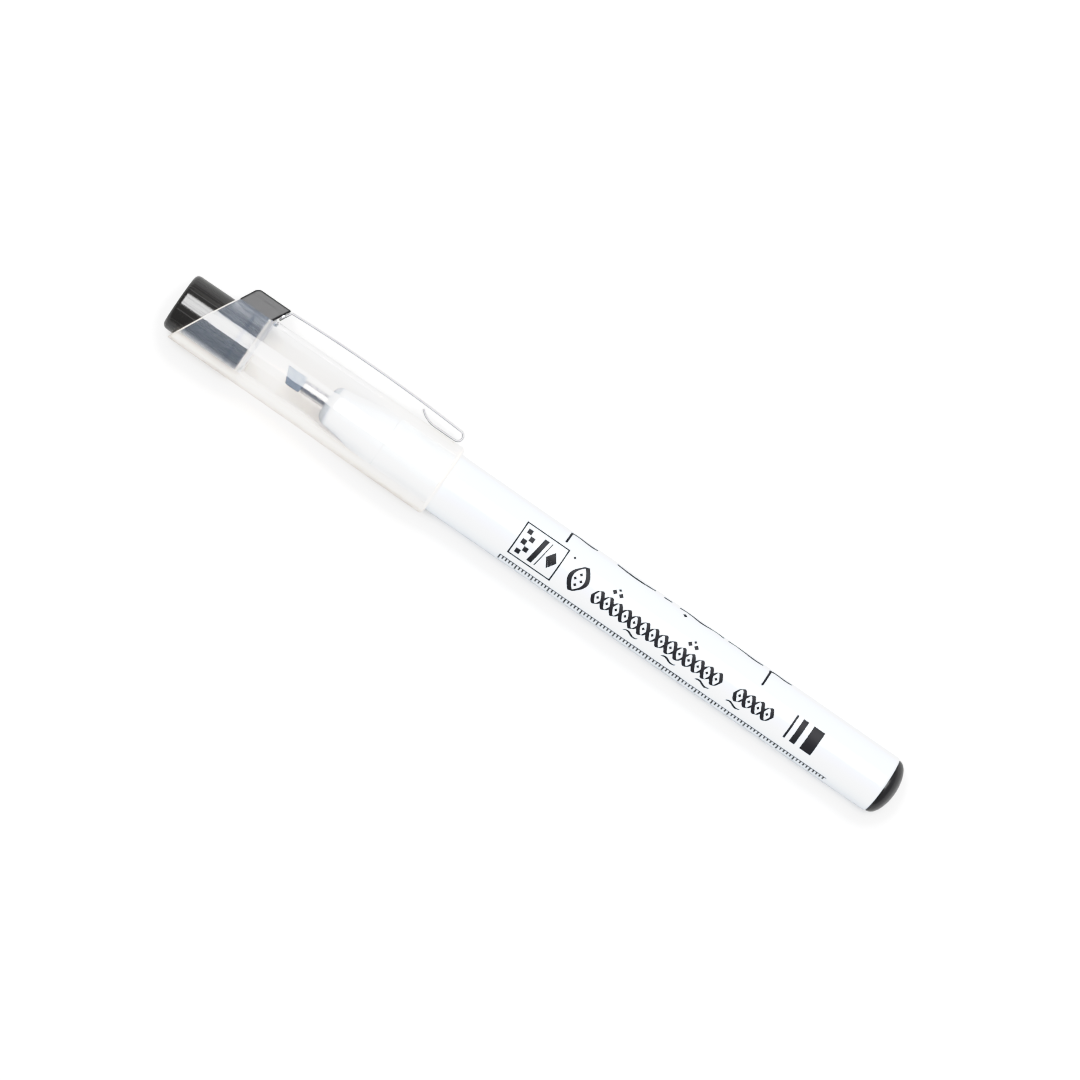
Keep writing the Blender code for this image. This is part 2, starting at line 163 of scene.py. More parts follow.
def draw(points):
    """Draws a line through the points by extruding one vertex."""
    bpy.ops.mesh.primitive_plane_add(size=MM, location=points[0])
    bpy.ops.mesh.merge(type="CENTER")
    for before, after in zip(points, points[1:]):
        step = Vector(after) - Vector(before)
        bpy.ops.mesh.extrude_vertices_move(TRANSFORM_OT_translate={"value": step})


def leave_editing(piece, smooth_angle=30):
    """Closes the seams, turns the faces outwards and shades the piece."""
    bpy.ops.mesh.select_all(action="SELECT")
    bpy.ops.mesh.remove_doubles(threshold=TIGHT)
    bpy.ops.mesh.normals_make_consistent(inside=False)
    bpy.ops.object.mode_set(mode="OBJECT")
    bpy.ops.object.shade_smooth_by_angle(angle=math.radians(smooth_angle))
    return piece


def turned(name, *outlines, sides=SIDES):
    """A piece spun about the pen's axis from outlines of (station, radius)."""
    piece = new_piece(name)
    for outline in outlines:
        draw([(x, radius, 0.0) for x, radius in outline])
    bpy.ops.mesh.select_all(action="SELECT")
    bpy.ops.mesh.remove_doubles(threshold=TIGHT)
    bpy.ops.mesh.spin(steps=sides, angle=math.tau, center=(0, 0, 0), axis=(1, 0, 0))
    return leave_editing(piece)


def prism(name, outline, width):
    """A flat outline seen along Z, extruded to a width centred on the pen's axis."""
    piece = new_piece(name)
    draw([(x, y, -width / 2) for x, y in (*outline, outline[0])])
    bpy.ops.mesh.select_all(action="SELECT")
    bpy.ops.mesh.remove_doubles(threshold=TIGHT)
    bpy.ops.mesh.edge_face_add()
    bpy.ops.mesh.extrude_region_move(TRANSFORM_OT_translate={"value": (0, 0, width)})
    return leave_editing(piece)


def apply_modifier(piece, kind, **settings):
    """Adds a modifier with its settings and applies it."""
    bpy.ops.object.select_all(action="DESELECT")
    piece.select_set(True)
    bpy.context.view_layer.objects.active = piece
    modifier = piece.modifiers.new(kind.lower(), kind)
    for setting, value in settings.items():
        setattr(modifier, setting, value)
    bpy.ops.object.modifier_apply(modifier=modifier.name)


def cut_away(piece, tool):
    """Cuts a tool's shape from a piece and throws the tool away."""
    apply_modifier(piece, "BOOLEAN", operation="DIFFERENCE", solver="EXACT", object=tool)
    bpy.data.objects.remove(tool)
    bpy.ops.object.shade_smooth_by_angle(angle=math.radians(30))


def round_edges(piece, width, segments=3, angle=30, material=-1):
    """Rounds the sharp edges of a piece, with a material slot of their own if it is given."""
    apply_modifier(
        piece, "BEVEL", width=width, segments=segments, limit_method="ANGLE",
        angle_limit=math.radians(angle), use_clamp_overlap=False, material=material,
    )
    bpy.ops.object.shade_smooth_by_angle(angle=math.radians(angle))


# ---------------------------------------------------------------------------- shared finishes


def node(tree, kind, inputs=(), **settings):
    """Adds a node, with its settings, and its input values or the sockets that feed them."""
    made = tree.nodes.new(kind)
    for setting, value in settings.items():
        setattr(made, setting, value)
    for name, value in dict(inputs).items():
        if isinstance(value, bpy.types.NodeSocket):
            tree.links.new(value, made.inputs[name])
        else:
            made.inputs[name].default_value = value
    return made


def math_node(tree, operation, first, second=0.5, clamp=False):
    """A Math node's result."""
    made = node(tree, "ShaderNodeMath", {0: first, 1: second}, operation=operation, use_clamp=clamp)
    return made.outputs[0]


def ramp(tree, value, start, end, low=0.0, high=1.0, **settings):
    """A value's span from start to end, mapped onto low to high and held at its ends."""
    ends = {"From Min": start, "From Max": end, "To Min": low, "To Max": high}
    return node(tree, "ShaderNodeMapRange", {"Value": value, **ends}, **settings).outputs[0]


def mixed(tree, factor, first, second):
    """Two colours mixed by a factor."""
    made = node(tree, "ShaderNodeMix", {"Factor": factor, "A": first, "B": second}, data_type="RGBA")
    return made.outputs["Result"]


def effect(name, inputs, outputs):
    """An empty node group with float inputs and outputs."""
    group = bpy.data.node_groups.new(name, "ShaderNodeTree")
    for socket, value in inputs.items():
        made = group.interface.new_socket(socket, in_out="INPUT", socket_type="NodeSocketFloat")
        made.default_value = value
    for socket in outputs:
        group.interface.new_socket(socket, in_out="OUTPUT", socket_type="NodeSocketFloat")
    return group, group.nodes.new("NodeGroupInput"), group.nodes.new("NodeGroupOutput")


def in_millimetres(tree, stretch=(1.0, 1.0, 1.0)):
    """Object coordinates in millimetres, with each axis drawn out by its own share."""
    place = node(tree, "ShaderNodeTexCoord").outputs["Object"]
    scale = [1 / (MM * share) for share in stretch]
    return node(tree, "ShaderNodeMapping", {"Vector": place, "Scale": scale}).outputs[0]


def moulding_grain():
    """Slow flow marks and a fine skin grain, as on a moulded surface."""
    group, given, out = effect("moulding_grain", {"Flow": 0.5, "Grain": 0.5}, ("Height", "Tone"))
    flow = node(group, "ShaderNodeTexNoise", {
        "Vector": in_millimetres(group, (6.0, 1.6, 1.6)), "Scale": 0.5, "Detail": 3.0})
    grain = node(group, "ShaderNodeTexNoise", {
        "Vector": in_millimetres(group), "Scale": 9.0, "Detail": 2.0})
    slow = math_node(group, "MULTIPLY", flow.outputs[0], given.outputs["Flow"])
    fine = math_node(group, "MULTIPLY", grain.outputs[0], given.outputs["Grain"])
    group.links.new(math_node(group, "ADD", slow, fine), out.inputs["Height"])
    group.links.new(flow.outputs[0], out.inputs["Tone"])
    return group


def handling_scratches():
    """Fine hairlines that run mostly along the pen, with a few that cross it."""
    group, given, out = effect("handling_scratches", {"Amount": 0.5}, ("Mask",))
    masks = []
    for stretch, scale in (((14.0, 0.35, 0.35), 0.9), ((0.5, 7.0, 4.0), 0.8)):
        streaks = node(group, "ShaderNodeTexNoise", {
            "Vector": in_millimetres(group, stretch), "Scale": scale, "Detail": 4.0,
            "Roughness": 0.7})
        masks.append(ramp(group, streaks.outputs[0], 0.60, 0.72))
    both = math_node(group, "MAXIMUM", masks[0], math_node(group, "MULTIPLY", masks[1], 0.5))
    result = math_node(group, "MULTIPLY", both, given.outputs["Amount"])
    group.links.new(result, out.inputs["Mask"])
    return group


def lengthwise_lines():
    """Fine parallel lines along the pen, as a drawing die, a polishing wheel or bonded fibres leave."""
    group, given, out = effect("lengthwise_lines", {"Fineness": 1.0}, ("Height",))
    lines = node(group, "ShaderNodeTexNoise", {
        "Vector": in_millimetres(group, (40.0, 0.30, 0.30)), "Scale": given.outputs["Fineness"],
        "Detail": 3.0, "Roughness": 0.6})
    group.links.new(lines.outputs[0], out.inputs["Height"])
    return group


def add_lines(material, fineness, relief, dull=0.0):
    """Adds lengthwise lines over a finish's own bump. Relief is their height in millimetres, and dull is
    how much rougher the lines are."""
    tree = material.node_tree
    shader = tree.nodes["Principled BSDF"]
    lines = node(tree, "ShaderNodeGroup", node_tree=LINES)
    lines.inputs["Fineness"].default_value = fineness
    bump = node(tree, "ShaderNodeBump", {
        "Height": lines.outputs["Height"], "Distance": relief * MM, "Strength": 1.0,
        "Normal": linked_from(material, "Normal")})
    tree.links.new(bump.outputs[0], shader.inputs["Normal"])
    wear_and_painted_sheen = ramp(tree, lines.outputs["Height"], 0.48, 0.66, high=dull)
    gloss = math_node(tree, "ADD", linked_from(material, "Roughness"), wear_and_painted_sheen)
    tree.links.new(gloss, shader.inputs["Roughness"])
    return material


def settled_dust():
    """Scattered specks of dust."""
    group, given, out = effect("settled_dust", {"Amount": 0.3}, ("Mask",))
    specks = node(group, "ShaderNodeTexVoronoi", {
        "Vector": in_millimetres(group), "Scale": 0.9, "Randomness": 1.0})
    near = ramp(group, specks.outputs["Distance"], 0.05, 0.02)
    result = math_node(group, "MULTIPLY", near, given.outputs["Amount"])
    group.links.new(result, out.inputs["Mask"])
    return group


GRAIN, SCRATCHES = moulding_grain(), handling_scratches()
LINES, DUST = lengthwise_lines(), settled_dust()


def finish(name, colour, second, roughness, metallic=0.0, flow=0.4, grain=0.3, scratches=0.3,
           dust=0.2, relief=0.004, shift=0.08, **fixed):
    """A moulded, drawn or printed finish. Its tone wanders between two colours, scratches and dust
    roughen it, and relief is the height of its grain in millimetres."""
    material = bpy.data.materials.new(name)
    material.use_nodes = True
    tree = material.node_tree
    shader = tree.nodes["Principled BSDF"]
    skin = node(tree, "ShaderNodeGroup", node_tree=GRAIN)
    skin.inputs["Flow"].default_value = flow
    skin.inputs["Grain"].default_value = grain
    marks = node(tree, "ShaderNodeGroup", node_tree=SCRATCHES)
    marks.inputs["Amount"].default_value = scratches
    specks = node(tree, "ShaderNodeGroup", node_tree=DUST)
    specks.inputs["Amount"].default_value = dust
    tone = mixed(tree, skin.outputs["Tone"], (*colour, 1.0), (*second, 1.0))
    tree.links.new(tone, shader.inputs["Base Color"])
    wear_and_painted_sheen = math_node(tree, "MAXIMUM", marks.outputs["Mask"], specks.outputs["Mask"])
    spread = math_node(tree, "MULTIPLY", skin.outputs["Tone"], shift)
    gloss = math_node(tree, "ADD", spread, roughness - shift / 2)
    gloss = math_node(tree, "ADD", gloss, math_node(tree, "MULTIPLY", wear_and_painted_sheen, 0.25), clamp=True)
    tree.links.new(gloss, shader.inputs["Roughness"])
    height = math_node(tree, "SUBTRACT", skin.outputs["Height"], math_node(tree, "MULTIPLY", wear_and_painted_sheen, 0.4))
    bump = node(tree, "ShaderNodeBump", {"Height": height, "Distance": relief * MM, "Strength": 1.0})
    tree.links.new(bump.outputs[0], shader.inputs["Normal"])
    shader.inputs["Metallic"].default_value = metallic
    for socket, value in fixed.items():
        shader.inputs[socket.replace("_", " ")].default_value = value
    return material


def linked_from(material, socket):
    """The socket that feeds one of the shader's inputs."""
    return material.node_tree.nodes["Principled BSDF"].inputs[socket].links[0].from_socket


def finish_with(piece, material):
    """Gives a piece its only material."""
    piece.data.materials.clear()
    piece.data.materials.append(material)


def white_gloss():
    return finish("white_gloss_plastic", (0.775, 0.835, 0.905), (0.755, 0.82, 0.90), 0.14,
                  flow=0.5, grain=0.12, scratches=0.25, dust=0.15, relief=0.003)


def white_nose():
    """White plastic, with painted shade greying the domed front."""
    material = finish("white_nose_plastic", (0.80, 0.85, 0.92), (0.76, 0.82, 0.90), 0.18,
                      flow=0.4, grain=0.35, scratches=0.1, dust=0.0, relief=0.004)
    tree = material.node_tree
    # Painted shade: the domed front's base colour is darkened towards grey.
    front = band_mask(tree, nose_low.x, nose_low.x + 1.0 * MM, 0.9 * MM)
    painted_shade_on_dome = mixed(tree, math_node(tree, "MULTIPLY", front, 0.8), linked_from(material, "Base Color"),
                    (0.16, 0.17, 0.19, 1.0))
    tree.links.new(painted_shade_on_dome, tree.nodes["Principled BSDF"].inputs["Base Color"])
    return material


def black_gloss():
    material = finish("black_gloss_plastic", (0.009, 0.0088, 0.0085), (0.013, 0.0125, 0.012), 0.12,
                      flow=0.9, grain=0.10, scratches=0.5, dust=0.3, relief=0.006,
                      Specular_IOR_Level=0.62)
    return add_lines(material, 0.8, 0.008, 0.28)


def black_block():
    return finish("black_block_plastic", (0.009, 0.009, 0.010), (0.013, 0.013, 0.014), 0.24,
                  flow=0.5, grain=0.8, scratches=0.4, dust=0.2, relief=0.006,
                  Specular_IOR_Level=0.22)


def black_satin():
    return finish("black_satin_plastic", (0.009, 0.009, 0.010), (0.013, 0.013, 0.014), 0.20,
                  flow=0.4, grain=0.5, scratches=0.3, dust=0.2, relief=0.004,
                  Specular_IOR_Level=0.55)


def bright_steel():
    """Rolled spring steel, with fine lines along the strip."""
    material = finish("bright_steel", (0.86, 0.86, 0.87), (0.80, 0.80, 0.82), 0.20, metallic=1.0,
                      flow=0.3, grain=0.1, scratches=0.8, dust=0.0, relief=0.003)
    return add_lines(material, 1.6, 0.004)


def steel_side_painted_dim():
    """The strip's narrow sides, painted darker to stand in for the dim reflection they show, and a little
    rougher.
    """
    material = finish("steel_side_painted_dim", (0.16, 0.16, 0.165), (0.11, 0.11, 0.115), 0.30, metallic=1.0,
                      flow=0.3, grain=0.8, scratches=0.4, dust=0.0, relief=0.004)
    return add_lines(material, 2.4, 0.004)


def steel_corner_painted_dark():
    """The strip's rounded corners, painted dark for the dark reflection that rounded edges show."""
    material = finish("steel_corner_painted_dark", (0.035, 0.035, 0.038), (0.02, 0.02, 0.022), 0.40, metallic=1.0,
                      flow=0.3, grain=0.8, scratches=0.4, dust=0.0, relief=0.004)
    return add_lines(material, 2.4, 0.004)


def ferrule_steel():
    """Drawn steel tube, with faint lines left by the die."""
    material = finish("ferrule_steel", (0.42, 0.39, 0.365), (0.36, 0.335, 0.31), 0.14, metallic=1.0,
                      flow=0.3, grain=0.2, scratches=0.3, dust=0.0, relief=0.003)
    return add_lines(material, 1.2, 0.004)


def dark_felt():
    """Bonded fibre, grooved along the nib and soaked with ink."""
    material = finish("dark_felt", (0.018, 0.026, 0.045), (0.05, 0.07, 0.10), 0.36,
                      flow=0.3, grain=1.0, scratches=0.6, dust=0.0, relief=0.02,
                      Specular_IOR_Level=0.14)
    return add_lines(material, 1.5, 0.05, 0.3)


def band_mask(tree, start, end, soft=0.08 * MM):
    """1 between two stations along the pen, with soft ends."""
    place = node(tree, "ShaderNodeTexCoord").outputs["Object"]
    x = node(tree, "ShaderNodeSeparateXYZ", {"Vector": place}).outputs["X"]
    return math_node(tree, "MULTIPLY", ramp(tree, x, start - soft, start), ramp(tree, x, end + soft, end))


def sleeve_painted_sheen(tree):
    """Painted sheen: how much milky haze lightens the sleeve. Where the wall is seen on edge it is milkier,
    most of all by the mouth and on the side away from the clip, and painted highlights of haze run along the
    mouth's lip and the cut end."""
    facing = node(tree, "ShaderNodeLayerWeight", {"Blend": 0.5}).outputs["Facing"]
    edge_on = ramp(tree, facing, 0.17, 0.42, high=0.45)
    # Painted highlight along the mouth's lip.
    soft_lip = 0.35 * MM
    lip = band_mask(tree, sleeve_high.x - soft_lip, sleeve_high.x + MM, soft_lip)
    lip = math_node(tree, "MULTIPLY", lip, 0.75)
    place = node(tree, "ShaderNodeTexCoord").outputs["Object"]
    split = node(tree, "ShaderNodeSeparateXYZ", {"Vector": place})
    # Painted sheen, stronger on the side away from the clip.
    painted_lower_side_sheen = ramp(tree, split.outputs["Y"], MM, -2.5 * MM, low=0.06)
    # Painted sheen towards the mouth.
    painted_mouth_sheen = ramp(tree, split.outputs["X"], 30 * MM, 39 * MM, high=0.8)
    edge_on = math_node(tree, "MULTIPLY", edge_on, math_node(tree, "MAXIMUM", painted_lower_side_sheen, painted_mouth_sheen))
    past_cut = node(tree, "ShaderNodeVectorMath", {0: place, 1: (1.0, -CUT_SLOPE, 0.0)},
                    operation="DOT_PRODUCT").outputs["Value"]
    # Painted highlight along the cut end.
    painted_cut_highlight = ramp(tree, past_cut, cut_x(0.0) + 0.20 * MM, cut_x(0.0) + 0.10 * MM)
    painted_cut_highlight = math_node(tree, "MULTIPLY", painted_cut_highlight, 0.45)
    return math_node(tree, "MAXIMUM", math_node(tree, "MAXIMUM", lip, painted_cut_highlight), edge_on)


def frosted_sleeve():
    """Milky translucent plastic. It scatters a little blue, so what passes it is warmer, and lamp light
    reaches the pieces inside through the thin wall. The partition's band is tinted darker, and painted shade
    darkens the snap groove."""
    material = finish("frosted_sleeve_plastic", (0.87, 0.855, 0.83), (0.85, 0.835, 0.81), 0.05,
                      flow=0.6, grain=0.05, scratches=0.2, dust=0.1, relief=0.0004, shift=0.04,
                      Transmission_Weight=1.0, IOR=1.33, Specular_IOR_Level=0.2)
    tree = material.node_tree
    shader = tree.nodes["Principled BSDF"]
    tone = node(tree, "ShaderNodeGroup", node_tree=GRAIN).outputs["Tone"]
    milk = ramp(tree, tone, 0.0, 1.0, 0.040, 0.052)
    # Painted sheen: milky haze mixed in where the wall is seen on edge, by the mouth, along the lip and
    # along the cut end.
    wear_and_painted_sheen = sleeve_painted_sheen(tree)
    thick = math_node(tree, "MULTIPLY", band_mask(tree, PARTITION_START + 0.4 * MM, PARTITION_END), 0.5)
    # Painted shade in the snap groove.
    painted_groove_shade = math_node(tree, "MULTIPLY", band_mask(tree, SNAP_START, SNAP_END), 0.6)
    thick_band_and_groove_shade = mixed(tree, math_node(tree, "ADD", thick, painted_groove_shade), linked_from(material, "Base Color"),
                   (0.42, 0.46, 0.54, 1.0))
    tree.links.new(thick_band_and_groove_shade, shader.inputs["Base Color"])
    blue, cream = (0.64, 0.74, 0.90, 1.0), (0.86, 0.82, 0.77, 1.0)
    haze_tone = mixed(tree, math_node(tree, "MULTIPLY", wear_and_painted_sheen, 4.0, clamp=True), blue, cream)
    haze = node(tree, "ShaderNodeBsdfDiffuse", {"Color": haze_tone, "Roughness": 0.5})
    body = node(tree, "ShaderNodeMixShader", {
        0: math_node(tree, "ADD", milk, wear_and_painted_sheen, clamp=True), 1: shader.outputs[0], 2: haze.outputs[0]})
    through = node(tree, "ShaderNodeBsdfTransparent", {"Color": (0.64, 0.62, 0.59, 1.0)})
    lamp = node(tree, "ShaderNodeLightPath").outputs["Is Shadow Ray"]
    both = node(tree, "ShaderNodeMixShader", {0: lamp, 1: body.outputs[0], 2: through.outputs[0]})
    tree.links.new(both.outputs[0], tree.nodes["Material Output"].inputs["Surface"])
    return material


def printing_ink():
    return finish("black_screen_ink", (0.008, 0.008, 0.010), (0.014, 0.014, 0.017), 0.40,
                  flow=0.3, grain=0.9, scratches=0.3, dust=0.0, relief=0.003,
                  Specular_IOR_Level=0.07)


def inked_fibre():
    return finish("inked_fibre", (0.006, 0.006, 0.010), (0.02, 0.02, 0.03), 0.85,
                  flow=0.8, grain=1.0, scratches=0.0, dust=0.0, relief=0.05)


def clear_film():
    return finish("clear_core_film", (0.80, 0.82, 0.84), (0.74, 0.77, 0.80), 0.25,
                  flow=0.6, grain=0.2, scratches=0.2, dust=0.0, relief=0.004)


# ---------------------------------------------------------------------------- the pen's pieces


def make_barrel():
    """The white barrel, with an eased front edge and a rounded rear rim."""
    front, rear = barrel_low.x, barrel_high.x
    rim, lead = 0.40 * MM, 0.08 * MM
    bore = barrel_radius(rear) - BARREL_WALL
    outline = [(front, bore), *arc((front + lead, barrel_radius(front) - lead), lead, 180, 90, 4)]
    outline += [*arc((rear - rim, barrel_radius(rear) - rim), rim, 90, 0, 8), (rear, bore)]
    piece = turned("barrel_tube", outline + outline[:1])
    finish_with(piece, white_gloss())
    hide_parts("barrel")
    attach(piece, "barrel")
    return piece


def make_nose():
    """The front section: domed front, flared cone and the spigot inside the barrel."""
    front, back = nose_low.x, nose_high.x
    shoulder = barrel_low.x - 0.04 * MM
    mouth, hole = 1.75 * MM, ferrule_high.z + PRESS_GAP
    dome, dome_radius = 1.6 * MM, 3.42 * MM
    top = barrel_high.z - 0.03 * MM
    spigot = barrel_radius(barrel_high.x) - BARREL_WALL - PRESS_GAP
    lip, mouth_depth, wall = mouth + 0.1 * MM, 0.6 * MM, 1.0 * MM
    web = ferrule_high.x + 1.0 * MM
    outline = [(front + mouth_depth, hole), (front, mouth)]
    for step in range(11):
        turn = math.radians(90 * step / 10)
        rise = (dome_radius - lip) * math.sin(turn)
        outline.append((front + dome * (1 - math.cos(turn)), lip + rise))
    for step in range(1, 17):
        share = step / 16
        x = front + dome + (shoulder - front - dome) * share
        outline.append((x, dome_radius + (top - dome_radius) * share**1.25))
    outline += [(shoulder, spigot), (back, spigot), (back, spigot - wall), (web, spigot - wall), (web, hole)]
    piece = turned("nose_cone", outline + outline[:1])
    finish_with(piece, white_nose())
    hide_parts("nose_section")
    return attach(piece, "barrel")


def make_ferrule():
    """The steel tube that holds the nib, with a rolled front lip."""
    outer, wall = ferrule_high.z, 0.25 * MM
    front, back = ferrule_low.x, ferrule_high.x
    outline = [*arc((front + wall / 2, outer - wall / 2), wall / 2, 270, 90, 8), (back, outer)]
    outline += [(back, outer - wall)]
    piece = turned("ferrule_tube", outline + outline[:1], sides=64)
    finish_with(piece, ferrule_steel())
    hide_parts("nib_ferrule")
    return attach(piece, "barrel")


def make_nib():
    """The felt chisel: a grooved slab with rounded sides, cut on a slant and ground thin in front."""
    half_width, half_height = nib_high.y, nib_high.z
    front, back = nib_low.x, ferrule_low.x - FACE_GAP
    corner, grooves, depth = 0.30 * MM, 9, 0.035 * MM
    section = []
    for side in (1, -1):
        top = []
        flat = half_width - corner
        for step in range(grooves * 6 + 1):
            share = step / (grooves * 6)
            dip = depth * (0.5 - 0.5 * math.cos(math.tau * grooves * share))
            top.append((side * (flat - 2 * flat * share), side * (half_height - dip)))
        bend = arc((-side * flat, side * (half_height - corner)), corner, 90 * side, 90 * side + 90, 5)
        foot = arc((-side * flat, -side * (half_height - corner)), corner, 90 * side + 90,
                   90 * side + 180, 5)
        section += top[:-1] + bend + foot[:-1]
    piece = new_piece("nib_chisel")
    draw([(back, y, z) for y, z in (*section, section[0])])
    bpy.ops.mesh.select_all(action="SELECT")
    bpy.ops.mesh.remove_doubles(threshold=TIGHT)
    bpy.ops.mesh.edge_face_add()
    slab, tip = 2.0 * MM, 0.5 * MM
    ground = front + tip - (back - slab)
    for step, height in ((-slab, 1.0), (ground, 0.45), (-0.6 * MM, 0.75)):
        bpy.ops.mesh.extrude_region_move(TRANSFORM_OT_translate={"value": (step, 0, 0)})
        bpy.ops.transform.resize(value=(1, 1, height), center_override=(0, 0, 0))
    slant = math.radians(24)
    bpy.ops.mesh.select_all(action="SELECT")
    bpy.ops.mesh.bisect(
        plane_co=(front, half_width, 0), plane_no=(-math.cos(slant), -math.sin(slant), 0),
        use_fill=True, clear_outer=True)
    leave_editing(piece, 50)
    round_edges(piece, 0.05 * MM, 2, 60)
    start, radius = back - 0.5 * MM, 0.9 * MM
    outline = [(start, 0), (start, radius), (nib_high.x, radius), (nib_high.x, 0)]
    shaft = turned("nib_shaft", outline, sides=48)
    felt = dark_felt()
    for part in (piece, shaft):
        finish_with(part, felt)
        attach(part, "barrel")
    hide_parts("nib")
    return piece


def make_tail():
    """The domed tail plug, with its spigot inside the barrel."""
    base, apex = barrel_high.x + FACE_GAP, tail_high.x
    foot, wall, steps = tail_high.z, 1.0 * MM, 24
    spigot = barrel_radius(barrel_high.x) - BARREL_WALL - PRESS_GAP
    dome = [(base, spigot)]
    for step in range(steps + 1):
        turn = math.radians(90 * step / steps)
        dome.append((base + (apex - base) * math.sin(turn), foot * math.cos(turn)))
    dome[-1] = (apex, 0)
    inside = [(base - wall, 0), (base - wall, spigot - wall), (tail_low.x, spigot - wall)]
    inside += [(tail_low.x, spigot), (base, spigot)]
    piece = turned("tail_dome", dome, inside)
    finish_with(piece, black_satin())
    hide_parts("tail_plug")
    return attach(piece, "barrel")


def make_sleeve():
    """The translucent sleeve: lipped mouth, partition, oblique cut and the slot for the clip block."""
    lip, inner_lip = 0.55 * MM, 0.15 * MM
    rim = sleeve_high.x - lip
    start = sleeve_low.x - 0.5 * MM
    dent = 0.15 * MM
    outline = [(PARTITION_END, 0), (PARTITION_END, bore_radius(PARTITION_END))]
    inner_rim = sleeve_high.x - inner_lip
    outline += arc((inner_rim, bore_radius(inner_rim) + inner_lip), inner_lip, -90, 0, 5)
    outline += arc((rim, sleeve_radius(rim) - lip), lip, 0, 90, 10)
    outline += [(start, sleeve_radius(start)), (start, bore_radius(start))]
    outline += [(SNAP_START, bore_radius(SNAP_START)), (SNAP_START, bore_radius(SNAP_START) + dent)]
    outline += [(SNAP_END, bore_radius(SNAP_END) + dent), (SNAP_END, bore_radius(SNAP_END))]
    outline += [(PARTITION_START, bore_radius(PARTITION_START)), (PARTITION_START, 0)]
    piece = turned("cap_sleeve_shell", outline)
    reach = 12 * MM
    waste = [(cut_x(-reach), -reach), (cut_x(reach), reach), (cut_x(reach) - 3 * reach, reach)]
    cut_away(piece, prism("cut_tool", waste, 2 * reach))
    gap = PRESS_GAP
    foot, top = BLOCK_FOOT - gap, BLOCK_TOP + gap
    slot = [(cut_x(foot - MM) - MM, foot - MM), (cut_x(top) - MM, top), (face_x(top) + gap, top)]
    slot += [(face_x(foot) + gap, foot), (PLUG_END + gap / 2, foot), (PLUG_END + gap / 2, foot - MM)]
    cut_away(piece, prism("slot_tool", slot, BLOCK_WIDTH + 2 * gap))
    finish_with(piece, frosted_sleeve())
    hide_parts("cap_sleeve")
    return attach(piece, "cap")


def make_plug():
    """The glossy end plug with its snap bead, hollow towards the partition."""
    inner = bore_radius(PLUG_END) - PRESS_GAP
    tip = inner - 0.12 * MM
    edge, wall, bead = 0.90 * MM, 1.5 * MM, 0.15 * MM

    def radius(x):
        return tip + (inner - tip) * x / PLUG_END

    outline = [(plug_low.x, 0), *arc((edge, radius(edge) - edge), edge, 180, 90, 10)]
    for x, height in ((SNAP_START, 0), (SNAP_START, bead), (SNAP_END, bead), (SNAP_END, 0)):
        outline.append((x, radius(x) + height))
    outline += [(PLUG_END, inner), (PLUG_END, inner - wall), (wall, inner - wall), (wall, 0)]
    piece = turned("end_plug", outline)
    finish_with(piece, black_gloss())
    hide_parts("cap_end_plug")
    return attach(piece, "cap")


def make_block():
    """The clip block, moulded on the plug and parallel to the sleeve's cut."""
    root = 4.6 * MM
    lean = math.degrees(math.atan(1 / CUT_SLOPE))
    tangent = BLOCK_CORNER * math.tan(math.radians(lean / 2))
    centre = (cut_x(BLOCK_TOP) + tangent, BLOCK_TOP - BLOCK_CORNER)
    outline = [(cut_x(root), root), *arc(centre, BLOCK_CORNER, 90 + lean, 90, 8)]
    outline += [(face_x(BLOCK_TOP), BLOCK_TOP), (face_x(BLOCK_FOOT), BLOCK_FOOT)]
    outline += [(PLUG_END, BLOCK_FOOT), (PLUG_END, root)]
    piece = prism("clip_block", outline, BLOCK_WIDTH)
    round_edges(piece, BLOCK_EDGE, 4)
    middle, reach = tab_height(), CLIP_THICKNESS / 2 + TAB_GAP
    left, right = face_x(middle) - TAB_DEPTH - TAB_GAP, face_x(middle) + MM
    low, high = middle - reach, middle + reach
    pocket = [(left, low), (right, low), (right, high), (left, high)]
    cut_away(piece, prism("pocket_tool", pocket, TAB_WIDTH + 2 * TAB_GAP))
    finish_with(piece, black_block())
    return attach(piece, "cap")


def clip_line():
    """The clip's middle line from its root leg, over the bowed strip, round the fold and back up."""
    slope = math.degrees(math.atan(1 / CUT_SLOPE))
    offset = (PRESS_GAP + CLIP_THICKNESS / 2) / math.sin(math.radians(slope))
    leg_y = sleeve_radius(face_x(root_of_clip.y)) + 0.3 * MM
    fold = (FOLD_HEIGHT - CLIP_THICKNESS) / 2
    end_x = clip_high.x - CLIP_THICKNESS / 2 - fold
    end_y = sleeve_radius(end_x) + PRESS_GAP + CLIP_THICKNESS / 2 + 2 * fold
    tangent = CLIP_BEND * math.tan(math.radians(slope / 2))
    line = [(face_x(leg_y) + offset, leg_y)]
    line += arc((root_of_clip.x + tangent, root_of_clip.y - CLIP_BEND), CLIP_BEND, 90 + slope, 90, 6)
    first = Vector(line[-1])
    steps = 32
    for step in range(1, steps + 1):
        share = step / steps
        rise = 4 * CLIP_BOW * share * (1 - share)
        line.append((first.x + (end_x - first.x) * share, first.y + (end_y - first.y) * share + rise))
    line += arc((end_x, end_y - fold), fold, 90, -90, 16)[1:]
    line += arc((end_x - FOLD_LEG, end_y - 2 * fold + CURL_RADIUS), CURL_RADIUS, -90, -135, 12)
    return line


